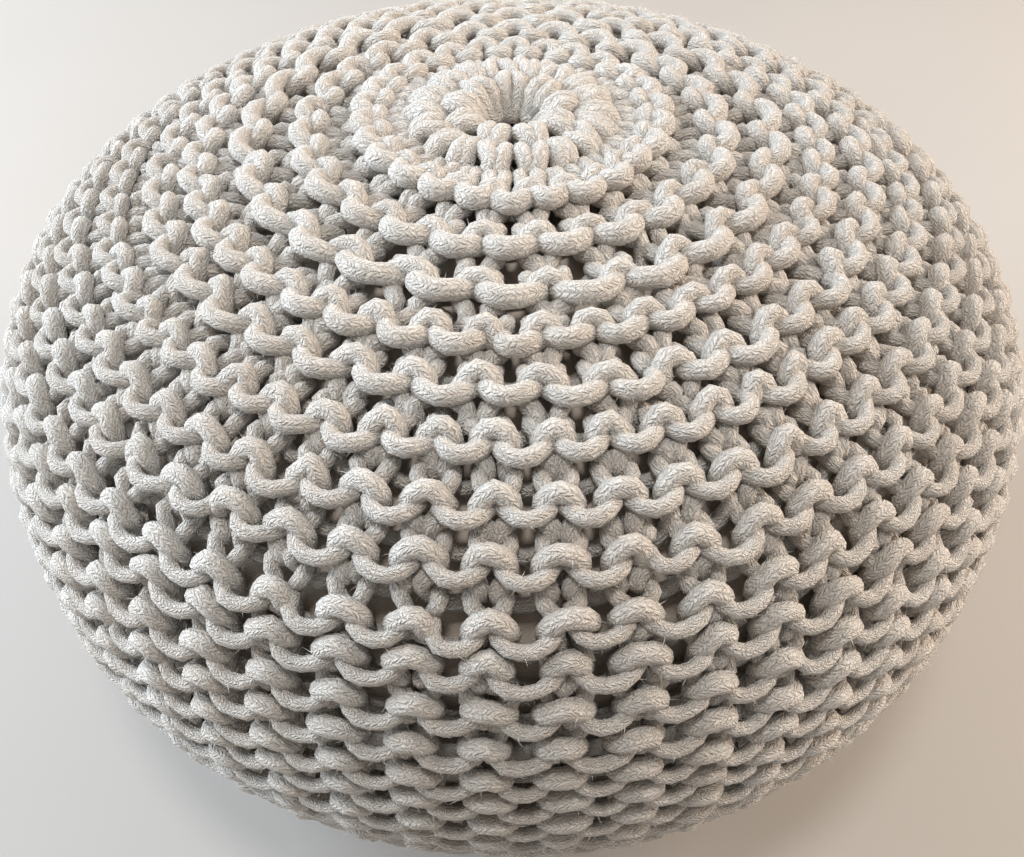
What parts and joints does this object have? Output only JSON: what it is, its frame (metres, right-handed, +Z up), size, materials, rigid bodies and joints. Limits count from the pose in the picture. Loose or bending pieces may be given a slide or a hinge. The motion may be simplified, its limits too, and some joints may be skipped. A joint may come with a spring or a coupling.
{
  "type": "knitted cord pouf",
  "caption": "Low round floor pouf with a ridged garter-stitch cover of thick cotton cord, a gathered crown with a small hole, and a lined, filled insert that shows through the stitches.",
  "frame": {"origin": "middle of the flat base, on the floor", "axes": "+Z up through the crown, -Y towards the front, +X to the right seen from the front"},
  "size_m": [0.4998, 0.4998, 0.3165],
  "materials": {
    "cotton_cord": "matt braided cotton cord, cream",
    "lining_cloth": "plain woven cotton lining, greige"
  },
  "bodies": {
    "root": {"knit_cover": "cotton_cord", "filled_insert": "lining_cloth"}
  },
  "joints": []
}
